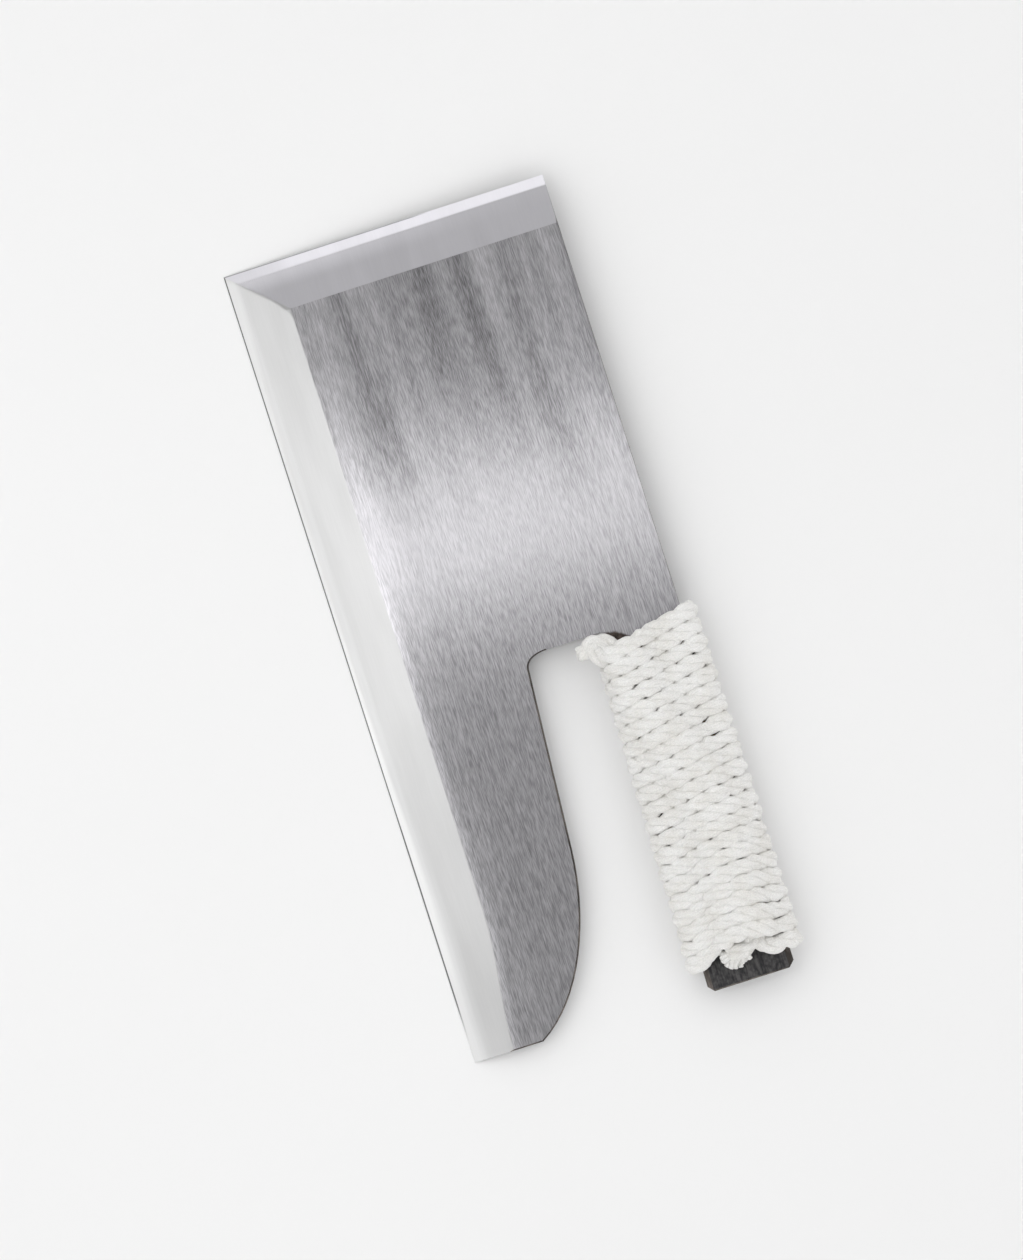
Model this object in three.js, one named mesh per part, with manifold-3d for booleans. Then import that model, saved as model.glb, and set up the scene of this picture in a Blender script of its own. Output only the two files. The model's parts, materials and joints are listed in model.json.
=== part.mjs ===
// Soba knife: a laminated blade, ground on one side, with a deep heel beside a flat tang wound with cord.
// Millimetres. The outline is drawn flat, with X from the cutting edge to the spine, Y from the heel to the
// front end and Z from the back face to the front face. The knife is then tilted to lie as on a table.
import * as THREE from 'three';
import { mergeVertices } from 'three/addons/utils/BufferGeometryUtils.js';
import Module from 'manifold-3d';

// Blade
const BLADE_LENGTH = 300;
const BLADE_HEIGHT = 122;
const BLADE_THICKNESS = 4;
const HARD_STEEL = 1;
const WELD_GAP = 0.05;
const EDGE_LAND = 0.1;
const EDGE_BEVEL = 20;
const HEEL_BEVEL = 15.4;
const HEEL_BEVEL_RUN = 50;
const FRONT_BEVEL = 18.4;
const EASED_EDGE = 0.5;

// Finger notch between the heel and the handle
const NOTCH_DEPTH = 135.2;
const NOTCH_WIDTH = 30.3;
const NOTCH_CORNER_WIDTH = 9.6;
const NOTCH_CORNER_HEIGHT = 5.7;
const NECK_FILLET = 2;

// Heel: a square end, then a curve that runs out into a nearly straight side of the notch. The curve's points
// are given by how far they lie back from that side at the notch, and by their height above the heel's end.
const HEEL_WIDTH = 26.4;
const HEEL_CURVE_TOP = { back: 5, height: 63 };
const HEEL_CURVE_UPPER = { back: 6.9, height: 38 };
const HEEL_CURVE_LOWER = { back: 17.8, height: 10.5 };

// Tang
const NECK_WIDTH = 29.3;
const TANG_END_WIDTH = 32.8;
const TANG_OVERHANG = 1.4;
const TANG_CORNER = 2.2;
const TANG_EASE_WIDTH = 2;
const TANG_EASE_DEPTH = 1.2;
const TANG_EASE_OVERCUT = 0.5;
const WELD_LINE_RISE = 7;
const WELD_LINE_INSET = 8;

// Cord: its section, its fit on the tang and between its turns
const CORD_DIAMETER = 4.8;
const CORD_SEAT = 0.3;
const STRAND_GAP = 0.6;
const TURN_GAP = 0.85;

// Cord: where the winding starts above the heel's end and stops at the notch, on the spine and notch sides
const FOOT_RIGHT = 8.2;
const FOOT_LEFT = 9.8;
const TOP_RIGHT_ABOVE_NOTCH = 1.1;
const TOP_LEFT_BELOW_NOTCH = 5.2;

// Cord: the ridge over the two hidden strands, and the soft peaks of the lower turns on it
const RIDGE_FROM_SPINE = 14;
const RIDGE_FLAT_SHARE = 1 / 3;
const RIDGE_RAMP_EASE = 3.7;
const RIDGE_LEAN_RUN = 62;
const RIDGE_LEAN_BELOW_NOTCH = 13.2;
const STRAND_FOOT = 24;
const STRAND_POINTS = 7;
const LOOP_BELOW_NOTCH = 4.8;
const LOOP_TUCK = 0.2;
const PEAK_RISE = 3.6;
const PEAK_SPAN = 17;
const PEAK_TURNS = 12;

// Fineness of the curves
const CURVE_SEGMENTS = 16;
const BEVEL_STEPS = 10;
const CORD_SIDES = 6;
const EDGE_STEPS = 4;
const BACK_STEPS = 5;
const FRONT_STEPS = 11;
const LEAD_STEPS = 84;
const MEASURE_PARTS = 4;
const CUT_MARGIN = 3;
const MERGE_DISTANCE = 1e-4;

const wasm = await Module();
wasm.setup();

const spine = BLADE_HEIGHT;
const neckLeft = spine - NECK_WIDTH;
const notchInner = neckLeft - NOTCH_WIDTH;
const tangEndLeft = spine - TANG_END_WIDTH;
const tangEnd = -TANG_OVERHANG;
const middle = BLADE_THICKNESS / 2;
const cordRadius = CORD_DIAMETER / 2;
const topRight = NOTCH_DEPTH + TOP_RIGHT_ABOVE_NOTCH;
const topLeft = NOTCH_DEPTH - TOP_LEFT_BELOW_NOTCH;
const turns = Math.floor((topLeft - FOOT_LEFT) / (CORD_DIAMETER + TURN_GAP));

/** A manifold solid from a closed geometry. */
function solidOf(geometry) {
  const bare = new THREE.BufferGeometry();
  bare.setAttribute('position', geometry.getAttribute('position').clone());
  if (geometry.index) {
    bare.setIndex(geometry.index.clone());
  }
  const merged = mergeVertices(bare, MERGE_DISTANCE);
  const vertProperties = new Float32Array(merged.getAttribute('position').array);
  const triVerts = new Uint32Array(merged.index.array);
  return new wasm.Manifold(new wasm.Mesh({ numProp: 3, vertProperties, triVerts }));
}

/** A buffer geometry from a manifold solid. */
function geometryOf(solid) {
  const mesh = solid.getMesh();
  const geometry = new THREE.BufferGeometry();
  geometry.setAttribute('position', new THREE.BufferAttribute(mesh.vertProperties, mesh.numProp));
  geometry.setIndex(new THREE.BufferAttribute(mesh.triVerts, 1));
  return geometry;
}

/** A closed skin through rings of equally many points, which turn anticlockwise seen from the far end. */
function skin(rings) {
  const sides = rings[0].length;
  const positions = [];
  rings.forEach((ring) => ring.forEach((point) => positions.push(point.x, point.y, point.z)));
  const index = [];
  for (let row = 0; row + 1 < rings.length; row += 1) {
    for (let side = 0; side < sides; side += 1) {
      const next = (side + 1) % sides;
      const a = row * sides + side;
      const b = row * sides + next;
      const c = (row + 1) * sides + next;
      const d = (row + 1) * sides + side;
      index.push(a, b, c, a, c, d);
    }
  }
  const last = (rings.length - 1) * sides;
  for (let side = 1; side + 1 < sides; side += 1) {
    index.push(0, side + 1, side);
    index.push(last, last + side, last + side + 1);
  }
  const geometry = new THREE.BufferGeometry();
  geometry.setAttribute('position', new THREE.Float32BufferAttribute(positions, 3));
  geometry.setIndex(index);
  return geometry;
}

/** A flat outline given thickness between two heights. */
function plate(shape, from, to) {
  const options = { depth: to - from, bevelEnabled: false, curveSegments: CURVE_SEGMENTS };
  const geometry = new THREE.ExtrudeGeometry(shape, options);
  geometry.translate(0, 0, from);
  return solidOf(geometry);
}

/** A flat outline at the blade's full thickness, with the corners of its two faces eased. */
function easedPlate(shape) {
  const geometry = new THREE.ExtrudeGeometry(shape, {
    depth: BLADE_THICKNESS - 2 * EASED_EDGE,
    bevelThickness: EASED_EDGE,
    bevelSize: EASED_EDGE,
    bevelOffset: -EASED_EDGE,
    bevelSegments: 1,
    curveSegments: CURVE_SEGMENTS,
  });
  geometry.translate(0, 0, EASED_EDGE);
  return solidOf(geometry);
}

/** Inner side of the tang, towards the heel, at a place along the handle. */
function tangInner(y) {
  return THREE.MathUtils.mapLinear(y, tangEnd, NOTCH_DEPTH, tangEndLeft, neckLeft);
}

/** Outline of the whole forging: blade, heel, notch and tang. */
function knifeOutline() {
  const shape = new THREE.Shape();
  shape.moveTo(0, 0);
  shape.lineTo(HEEL_WIDTH, 0);
  const curve = [HEEL_CURVE_LOWER, HEEL_CURVE_UPPER, HEEL_CURVE_TOP];
  shape.bezierCurveTo(...curve.flatMap(({ back, height }) => [notchInner - back, height]));
  shape.lineTo(notchInner, NOTCH_DEPTH - NOTCH_CORNER_HEIGHT);
  shape.quadraticCurveTo(notchInner, NOTCH_DEPTH, notchInner + NOTCH_CORNER_WIDTH, NOTCH_DEPTH);
  shape.lineTo(neckLeft - NECK_FILLET, NOTCH_DEPTH);
  const filletEnd = NOTCH_DEPTH - NECK_FILLET;
  shape.quadraticCurveTo(neckLeft, NOTCH_DEPTH, tangInner(filletEnd), filletEnd);
  shape.lineTo(tangInner(tangEnd + TANG_CORNER), tangEnd + TANG_CORNER);
  shape.lineTo(tangEndLeft + TANG_CORNER, tangEnd);
  shape.lineTo(spine - TANG_CORNER, tangEnd);
  shape.lineTo(spine, tangEnd + TANG_CORNER);
  shape.lineTo(spine, BLADE_LENGTH);
  shape.lineTo(0, BLADE_LENGTH);
  return shape;
}

/** Outline that takes in the tang and the neck up to the weld line, set back from that line by a gap. */
function tangRoot(gap) {
  const left = neckLeft - WELD_LINE_INSET + gap;
  const shape = new THREE.Shape();
  shape.moveTo(Math.min(left, tangEndLeft - CUT_MARGIN), tangEnd - CUT_MARGIN);
  shape.lineTo(spine + CUT_MARGIN, tangEnd - CUT_MARGIN);
  shape.lineTo(spine + CUT_MARGIN, NOTCH_DEPTH + WELD_LINE_RISE - gap);
  shape.lineTo(left, NOTCH_DEPTH - gap);
  return shape;
}

/** Width of the edge bevel, which narrows over the last stretch before the heel. */
function edgeBevelWidth(y) {
  return HEEL_BEVEL + (EDGE_BEVEL - HEEL_BEVEL) * THREE.MathUtils.smoothstep(y, 0, HEEL_BEVEL_RUN);
}

/** The wedge that grinding takes off along the cutting edge. */
function edgeGrind() {
  const stations = [-CUT_MARGIN];
  for (let step = 0; step <= BEVEL_STEPS; step += 1) {
    stations.push((HEEL_BEVEL_RUN * step) / BEVEL_STEPS);
  }
  stations.push(BLADE_LENGTH + CUT_MARGIN);
  const rings = stations.map((y) => {
    const width = edgeBevelWidth(y);
    const slope = (BLADE_THICKNESS - EDGE_LAND) / width;
    const top = BLADE_THICKNESS + CUT_MARGIN * slope;
    return [
      new THREE.Vector3(-CUT_MARGIN, y, EDGE_LAND - CUT_MARGIN * slope),
      new THREE.Vector3(-CUT_MARGIN, y, top),
      new THREE.Vector3(width + CUT_MARGIN, y, top),
    ];
  });
  return solidOf(skin(rings));
}

/** The wedge that grinding takes off along the front end. */
function frontGrind() {
  const slope = (BLADE_THICKNESS - EDGE_LAND) / FRONT_BEVEL;
  const top = BLADE_THICKNESS + CUT_MARGIN * slope;
  const outer = BLADE_LENGTH + CUT_MARGIN;
  const rings = [-CUT_MARGIN, spine + CUT_MARGIN].map((x) => [
    new THREE.Vector3(x, outer, EDGE_LAND - CUT_MARGIN * slope),
    new THREE.Vector3(x, outer, top),
    new THREE.Vector3(x, BLADE_LENGTH - FRONT_BEVEL - CUT_MARGIN, top),
  ]);
  return solidOf(skin(rings));
}

/** The sliver that eases one long corner of the tang: inner or spine side, back or front face. */
function tangEase(onSpine, onFront) {
  const outward = onSpine ? 1 : -1;
  const upward = onFront ? 1 : -1;
  const face = onFront ? BLADE_THICKNESS : 0;
  const over = TANG_EASE_OVERCUT;
  const easeEnd = onSpine ? topRight + CORD_DIAMETER : NOTCH_DEPTH - NECK_FILLET;
  const rings = [tangEnd - CUT_MARGIN, easeEnd].map((y) => {
    const side = onSpine ? spine : tangInner(y);
    const corners = [
      [-TANG_EASE_WIDTH * (1 + over), TANG_EASE_DEPTH * over],
      [TANG_EASE_WIDTH * over, -TANG_EASE_DEPTH * (1 + over)],
      [TANG_EASE_WIDTH * over, TANG_EASE_DEPTH * over],
    ];
    return corners.map(([out, up]) => new THREE.Vector3(side + outward * out, y, face + upward * up));
  });
  if (outward === upward) {
    rings.forEach((ring) => ring.reverse());
  }
  return solidOf(skin(rings));
}

/** The soft iron body: the forging less the rebate for the hard steel, the two bevels and the eased tang. */
function bladeBody() {
  const rebate = plate(knifeOutline(), -CUT_MARGIN, HARD_STEEL + WELD_GAP);
  let body = easedPlate(knifeOutline());
  body = body.subtract(rebate.subtract(plate(tangRoot(WELD_GAP), -2 * CUT_MARGIN, BLADE_THICKNESS)));
  body = body.subtract(edgeGrind()).subtract(frontGrind());
  for (const onSpine of [false, true]) {
    for (const onFront of [false, true]) {
      body = body.subtract(tangEase(onSpine, onFront));
    }
  }
  return geometryOf(body);
}

/** The hard steel layer over the whole back of the blade, cut by the same two bevels. */
function edgeSteel() {
  const layer = plate(knifeOutline(), 0, HARD_STEEL);
  const root = plate(tangRoot(0), -CUT_MARGIN, BLADE_THICKNESS);
  return geometryOf(layer.subtract(root).subtract(edgeGrind()).subtract(frontGrind()));
}

// The cord is one length: from its frayed end it runs up the face of the tang, turns back on itself in a loop
// at the neck, runs down beside itself, and is then wound upwards over both strands to its other end.
const strandSpacing = CORD_DIAMETER + STRAND_GAP;
const bendRadius = middle + CORD_SEAT + cordRadius;
const faceLevel = middle + bendRadius;
const ridge = spine - RIDGE_FROM_SPINE;
const ridgeFlat = CORD_DIAMETER * RIDGE_FLAT_SHARE;
const ridgeRamp = CORD_DIAMETER + RIDGE_RAMP_EASE;
const leanEnd = NOTCH_DEPTH - RIDGE_LEAN_BELOW_NOTCH;

// The loop's inner leg lies a cord's diameter in from the tang's side, less a little tuck.
const loopMiddle = neckLeft + CORD_DIAMETER - LOOP_TUCK + strandSpacing / 2;

// The bends round the tang's sides are centred so far in that their straight steps clear the eased side.
const bendClear = bendRadius * Math.cos(Math.PI / (2 * EDGE_STEPS)) - cordRadius - CORD_SEAT;
const bendInset = Math.sqrt(bendClear ** 2 - (middle - TANG_EASE_DEPTH) ** 2);
const backTurn = EDGE_STEPS / 2 + BACK_STEPS + EDGE_STEPS / 2;
const stepsPerTurn = 2 * EDGE_STEPS + BACK_STEPS + FRONT_STEPS;

/** Middle of the two hidden strands, which lean towards the notch near the neck. */
function strandMiddle(y) {
  const lean = THREE.MathUtils.smoothstep(y, leanEnd - RIDGE_LEAN_RUN, leanEnd);
  return THREE.MathUtils.lerp(ridge, loopMiddle, lean);
}

/** How far the turns are lifted off the face where they pass over the two strands. */
function ridgeLift(x, y) {
  const aside = Math.abs(x - strandMiddle(y)) - strandSpacing / 2 - ridgeFlat;
  return strandSpacing * (1 - THREE.MathUtils.smoothstep(aside, 0, ridgeRamp));
}

/** Place of the cord's middle line after some steps of a turn: spine side, back, notch side, front. */
function aroundTang(step, y) {
  const right = spine - bendInset;
  const left = tangInner(y) + bendInset;
  const quarter = EDGE_STEPS / 2;
  const backEnd = quarter + BACK_STEPS;
  const leftEnd = backEnd + EDGE_STEPS;
  const frontEnd = leftEnd + FRONT_STEPS;
  let x = right;
  let angle = (-Math.PI / 2) * (step / quarter);
  if (step > frontEnd) {
    angle = (Math.PI / 2) * (1 - (step - frontEnd) / quarter);
  } else if (step > leftEnd) {
    x = THREE.MathUtils.lerp(left, right, (step - leftEnd) / FRONT_STEPS);
    angle = Math.PI / 2;
  } else if (step > backEnd) {
    x = left;
    angle = -Math.PI / 2 - Math.PI * ((step - backEnd) / EDGE_STEPS);
  } else if (step > quarter) {
    x = THREE.MathUtils.lerp(right, left, (step - quarter) / BACK_STEPS);
    angle = -Math.PI / 2;
  }
  const point = new THREE.Vector3(x + bendRadius * Math.cos(angle), y, middle + bendRadius * Math.sin(angle));
  point.z += ridgeLift(point.x, y) * Math.max(0, Math.sin(angle));
  return point;
}

/** Height of a turn where it passes the spine side. */
function rightHeight(turn) {
  return THREE.MathUtils.lerp(FOOT_RIGHT, topRight, turn / turns);
}

/** Height of a turn where it passes the notch side, behind the spine side by the run across the back. */
function leftHeight(turn) {
  return THREE.MathUtils.lerp(FOOT_LEFT, topLeft, turn / turns);
}

/** One point of the winding. The lower turns rise to a soft peak where they cross the strands. */
function windingPoint(turn, step) {
  if (step <= backTurn) {
    return aroundTang(step, THREE.MathUtils.lerp(rightHeight(turn), leftHeight(turn), step / backTurn));
  }
  const along = (step - backTurn) / (stepsPerTurn - backTurn);
  const level = THREE.MathUtils.lerp(leftHeight(turn), rightHeight(turn + 1), along);
  const point = aroundTang(step, level);
  const fade = Math.max(0, 1 - turn / PEAK_TURNS);
  const aside = Math.min(1, Math.abs(point.x - ridge) / PEAK_SPAN);
  point.y += PEAK_RISE * fade * Math.cos((aside * Math.PI) / 2);
  return point;
}

/** The stretch on the face of the tang: frayed end, first strand, loop, second strand, first bend. */
function leadPoints() {
  const onFace = (x, y) => new THREE.Vector3(x, y, faceLevel);
  const half = strandSpacing / 2;
  const strand = (side, y) => onFace(strandMiddle(y) + side * half, y);
  const heights = [];
  for (let at = 0; at < STRAND_POINTS; at += 1) {
    heights.push(THREE.MathUtils.lerp(STRAND_FOOT, leanEnd, at / (STRAND_POINTS - 1)));
  }
  const loopHeight = NOTCH_DEPTH - LOOP_BELOW_NOTCH;
  const loop = [180, 135, 90, 45, 0].map((degrees) => {
    const angle = THREE.MathUtils.degToRad(degrees);
    return onFace(loopMiddle + half * Math.cos(angle), loopHeight + half * Math.sin(angle));
  });
  return [
    onFace(ridge - 9.6, 6),
    onFace(ridge - 6.4, 7.2),
    onFace(ridge - half - 1.2, 10),
    onFace(ridge - half - 0.3, 14.5),
    ...heights.map((y) => strand(-1, y)),
    ...loop,
    ...heights.toReversed().map((y) => strand(1, y)),
    onFace(ridge + half + 0.4, 15.5),
    onFace(ridge + half + 1.5, 11.6),
    onFace(ridge + 7.6, 9.2),
    onFace(spine - bendInset, FOOT_RIGHT),
  ];
}

/** The cord's middle line from end to end. */
function cordLine() {
  const lead = new THREE.CatmullRomCurve3(leadPoints(), false, 'centripetal').getSpacedPoints(LEAD_STEPS);
  const firstBend = aroundTang(stepsPerTurn - 1, FOOT_RIGHT);
  const line = [...lead, firstBend];
  for (let turn = 0; turn < turns; turn += 1) {
    for (let step = 0; step < stepsPerTurn; step += 1) {
      line.push(windingPoint(turn, step));
    }
  }
  for (let step = 0; step <= EDGE_STEPS / 2 + BACK_STEPS; step += 1) {
    line.push(windingPoint(turns, step));
  }
  const leave = line[line.length - 1];
  const tail = [[-4.2, -0.1, 0.4], [-8.4, -0.2, 1.2], [-13.2, -0.3, 2.2]];
  tail.forEach(([x, y, z]) => line.push(leave.clone().add(new THREE.Vector3(x, y, z))));
  return line;
}

/** Rings of the cord's surface, carried along the line without twisting. */
function cordRings(line) {
  const tangentAt = (at) => {
    const before = line[Math.max(0, at - 1)];
    const after = line[Math.min(line.length - 1, at + 1)];
    return after.clone().sub(before).normalize();
  };
  let tangent = tangentAt(0);
  let across = new THREE.Vector3(0, 0, 1).cross(tangent).normalize();
  return line.map((centre, at) => {
    const turned = tangentAt(at);
    across = across.applyQuaternion(new THREE.Quaternion().setFromUnitVectors(tangent, turned));
    across.addScaledVector(turned, -across.dot(turned)).normalize();
    tangent = turned;
    const up = tangent.clone().cross(across);
    const ring = [];
    for (let side = 0; side < CORD_SIDES; side += 1) {
      const angle = (2 * Math.PI * side) / CORD_SIDES;
      const point = centre.clone().addScaledVector(across, cordRadius * Math.cos(angle));
      ring.push(point.addScaledVector(up, cordRadius * Math.sin(angle)));
    }
    return ring;
  });
}

/** Least gap between stretches of the cord that lie beside or over each other, and the cord's length. */
function measureCord(line) {
  const dense = [];
  for (let at = 0; at + 1 < line.length; at += 1) {
    for (let part = 0; part < MEASURE_PARTS; part += 1) {
      dense.push(line[at].clone().lerp(line[at + 1], part / MEASURE_PARTS));
    }
  }
  const run = [0];
  for (let at = 1; at < dense.length; at += 1) {
    run.push(run[at - 1] + dense[at].distanceTo(dense[at - 1]));
  }
  const apart = (Math.PI * strandSpacing) / 2;
  let least = Infinity;
  let place = dense[0];
  for (let a = 0; a < dense.length; a += 1) {
    for (let b = a + 1; b < dense.length; b += 1) {
      if (run[b] - run[a] > apart) {
        const gap = dense[a].distanceTo(dense[b]) - CORD_DIAMETER;
        if (gap < least) {
          least = gap;
          place = dense[a];
        }
      }
    }
  }
  const spot = place.toArray().map((value) => value.toFixed(1)).join(', ');
  const length = run[run.length - 1].toFixed(0);
  console.log(`cord: ${turns} turns, ${length} mm long`);
  console.log(`least gap of the cord to itself ${least.toFixed(2)} mm, at ${spot}`);
}

/** A named piece with its finish. */
function piece(name, geometry, color, roughness, metalness) {
  const mesh = new THREE.Mesh(geometry, new THREE.MeshStandardMaterial({ color, roughness, metalness }));
  mesh.name = name;
  return mesh;
}

const line = cordLine();
measureCord(line);
const cordGeometry = skin(cordRings(line));

// The knife rests on its cutting edge and on the inner underside of the cord.
const cordVertices = cordGeometry.getAttribute('position');
let restTilt = 0;
for (let at = 0; at < cordVertices.count; at += 1) {
  restTilt = Math.max(restTilt, Math.atan2(-cordVertices.getZ(at), cordVertices.getX(at)));
}

const lying = new THREE.Group();
lying.rotation.y = -restTilt;
lying.add(piece('blade_body', bladeBody(), 0xa9acb1, 0.38, 1));
lying.add(piece('edge_steel', edgeSteel(), 0xe4e6e9, 0.2, 1));
lying.add(piece('handle_cord', cordGeometry, 0xe8e6df, 0.95, 0));

// The origin is the middle of the bottom of the knife's box.
const box = new THREE.Box3().setFromObject(lying, true);
const centre = box.getCenter(new THREE.Vector3());
lying.position.set(-centre.x, -centre.y, -box.min.z);

const group = new THREE.Group();
group.add(lying);

export default group;
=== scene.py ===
"""Soba knife: a brushed blade ground on one side, with a flat tang wound in laid cotton cord.

The knife is drawn in its own flat coordinates, in millimetres: x runs from the cutting edge to the spine, y from
the heel to the front end, and z from the flat back to the ground face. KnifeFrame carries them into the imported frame.
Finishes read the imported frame's metres, where x still runs across the blade and y along it. Their waves are in mm.
"""

import json
import logging
import math
from dataclasses import asdict, dataclass, fields
from enum import Enum
from typing import Any, Iterable, Sequence

import bmesh
import bpy
from bmesh.types import BMesh, BMFace
from bpy.types import ID, Material, Mesh, MeshPolygon, Node, NodeTree, Object
from bpy.types import NodeSocket as Socket
from mathutils import Matrix, Vector, noise


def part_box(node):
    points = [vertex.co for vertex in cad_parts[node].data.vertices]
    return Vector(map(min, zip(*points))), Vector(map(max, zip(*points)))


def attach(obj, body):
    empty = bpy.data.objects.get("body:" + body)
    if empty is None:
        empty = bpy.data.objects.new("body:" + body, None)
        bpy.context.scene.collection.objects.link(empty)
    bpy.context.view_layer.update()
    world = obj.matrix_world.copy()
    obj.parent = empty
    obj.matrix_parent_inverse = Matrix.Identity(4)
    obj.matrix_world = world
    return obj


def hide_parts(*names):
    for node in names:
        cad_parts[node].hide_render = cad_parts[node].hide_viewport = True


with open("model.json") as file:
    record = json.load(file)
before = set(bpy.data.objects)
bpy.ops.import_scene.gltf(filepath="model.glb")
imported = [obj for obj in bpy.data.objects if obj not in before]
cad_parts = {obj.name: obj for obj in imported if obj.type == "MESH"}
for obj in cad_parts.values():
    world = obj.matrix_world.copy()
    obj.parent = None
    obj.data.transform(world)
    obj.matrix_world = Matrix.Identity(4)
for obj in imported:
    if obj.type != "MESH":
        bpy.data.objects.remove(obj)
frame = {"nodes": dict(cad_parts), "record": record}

log = logging.getLogger("soba_knife")

MILLIMETRE = 0.001
BODY = "root"
UP = Vector((0, 0, 1))
USUAL = (0.3, 0.7)  # most values of a noise lie between these

Value = Any
Pair = tuple[float, float]
Ramp = tuple[Pair, Pair]  # two places, and the values there
Triple = tuple[float, float, float]
Shades = tuple[tuple[float, float, float, float], tuple[float, float, float, float]]
Route = list[tuple[Vector, Vector]]  # points of a middle line, and the way out of the tang at each


def lerp(a: float, b: float, share: float) -> float:
    """Value at a share of the way from a to b."""
    return a + (b - a) * share


def smoothstep(value: float, low: float, high: float) -> float:
    """Soft step from 0 at low to 1 at high."""
    share = min(1.0, max(0.0, (value - low) / (high - low)))
    return share * share * (3 - 2 * share)


def rows(start: float, step: float, count: int) -> list[float]:
    """Evenly spaced places."""
    return [start + step * at for at in range(count)]


def live(sockets: Iterable[Socket], name: str = "") -> Socket:
    """First socket in use, of a name where one is given."""
    return next(socket for socket in sockets if socket.enabled and name in ("", socket.name))


def baked(shape: BMesh, name: str) -> Mesh:
    """Makes a plain mesh of a shape.

    Args:
        shape: the shape, which is used up.
        name: name of the mesh.

    Returns:
        The mesh.
    """
    mesh = bpy.data.meshes.new(name)
    shape.to_mesh(mesh)
    shape.free()
    return mesh


def show(data: ID) -> Object:
    """Adds an object to the scene, under its data's name.

    Args:
        data: a mesh, camera or lamp.

    Returns:
        The object.
    """
    made = bpy.data.objects.new(data.name, data)
    bpy.context.scene.collection.objects.link(made)
    return made


def stand_for(mesh: Mesh, node: str) -> Object:
    """Shows a finished mesh as a piece that rides on the knife's one body in place of a node.

    Args:
        mesh: the mesh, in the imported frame.
        node: the node that the piece replaces.

    Returns:
        The piece.
    """
    piece = show(mesh)
    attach(piece, BODY)
    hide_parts(node)
    return piece


class NodeKit:
    """Short calls to add and join the nodes of one tree."""

    def __init__(self, tree: NodeTree) -> None:
        """Keeps the tree that the calls add to."""
        self.tree = tree

    def add(self, kind: str, inputs: dict[Any, Value] | None = None, **settings: Value) -> Node:
        """Adds a node, with its settings first and then its inputs.

        Args:
            kind: Blender's name of the node type.
            inputs: values or sockets for the inputs, by name or place.
            settings: properties of the node itself.

        Returns:
            The new node.
        """
        node = self.tree.nodes.new(kind)
        for name, value in settings.items():
            setattr(node, name, value)
        self.fill(node, inputs or {})
        return node

    def fill(self, node: Node, inputs: dict[Any, Value]) -> None:
        """Puts values or sockets into a node's inputs, by name or place."""
        for key, value in inputs.items():
            self.put(node.inputs[key], value)

    def put(self, socket: Socket, value: Value) -> None:
        """Joins a socket to an input, or sets the input's own value.

        Args:
            socket: the input.
            value: a socket, or a plain value.
        """
        if isinstance(value, Socket):
            self.tree.links.new(value, socket)
        else:
            socket.default_value = value

    def math(self, operation: str, a: Value, b: Value = 0.0, c: Value = 0.0) -> Socket:
        """Result of a Math node with up to three values."""
        return self.add("ShaderNodeMath", {0: a, 1: b, 2: c}, operation=operation).outputs[0]

    def times(self, a: Value, b: Value) -> Socket:
        """Product of two values."""
        return self.math("MULTIPLY", a, b)

    def plus(self, a: Value, b: Value) -> Socket:
        """Sum of two values."""
        return self.math("ADD", a, b)

    def minus(self, a: Value, b: Value) -> Socket:
        """Difference of two values."""
        return self.math("SUBTRACT", a, b)

    def vector(self, operation: str, a: Value, b: Value = None, scale: Value = None) -> Socket:
        """Vector result of a Vector Math node."""
        more = {key: value for key, value in ((1, b), ("Scale", scale)) if value is not None}
        return self.add("ShaderNodeVectorMath", {0: a, **more}, operation=operation).outputs[0]

    def span(self, value: Value, source: Sequence[Value], target: Sequence[Value] = (0.0, 1.0)) -> Socket:
        """Carries one range of values softly over to another, clamped at both ends."""
        ends = dict(zip(("From Min", "From Max", "To Min", "To Max"), (*source, *target)))
        return self.add("ShaderNodeMapRange", {"Value": value, **ends}, interpolation_type="SMOOTHSTEP").outputs[0]

    def grain(self, place: Socket, waves: Triple, detail: float = 2.0, at: Triple = (0, 0, 0)) -> Socket:
        """Noise from 0 to 1 whose spots have the given lengths along the three axes.

        Args:
            place: coordinates in metres.
            waves: length of a spot along x, y and z, in millimetres.
            detail: how many finer layers lie on it.
            at: shift that makes two noises differ.

        Returns:
            The noise's value.
        """
        scale = tuple(1.0 / (wave * MILLIMETRE) for wave in waves)
        mapping = self.add("ShaderNodeMapping", {"Vector": place, "Location": at, "Scale": scale})
        inputs = {"Vector": mapping.outputs[0], "Scale": 1.0, "Detail": detail, "Roughness": 0.55}
        return self.add("ShaderNodeTexNoise", inputs).outputs[0]

    def mix(self, share: Value, a: Value, b: Value, kind: str = "RGBA", blend: str = "MIX") -> Socket:
        """Mixes two colours or two numbers.

        Args:
            share: how much of the second one shows.
            a: the first one.
            b: the second one.
            kind: RGBA or FLOAT.
            blend: how two colours meet.

        Returns:
            The mixed value.
        """
        node = self.add("ShaderNodeMix", data_type=kind, blend_type=blend)
        ends = [socket for socket in node.inputs if socket.enabled]
        for socket, value in zip(ends, (share, a, b)):
            self.put(socket, value)
        return live(node.outputs)

    def colour(self, *parts: Value) -> Socket:
        """Colour from its three parts."""
        return self.add("ShaderNodeCombineColor", dict(enumerate(parts))).outputs[0]

    def place(self) -> Socket:
        """The piece's own coordinates, in metres."""
        return self.add("ShaderNodeTexCoord").outputs["Object"]

    def axes(self, place: Socket) -> Sequence[Socket]:
        """The three parts of a place or direction."""
        return self.add("ShaderNodeSeparateXYZ", {0: place}).outputs


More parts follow.
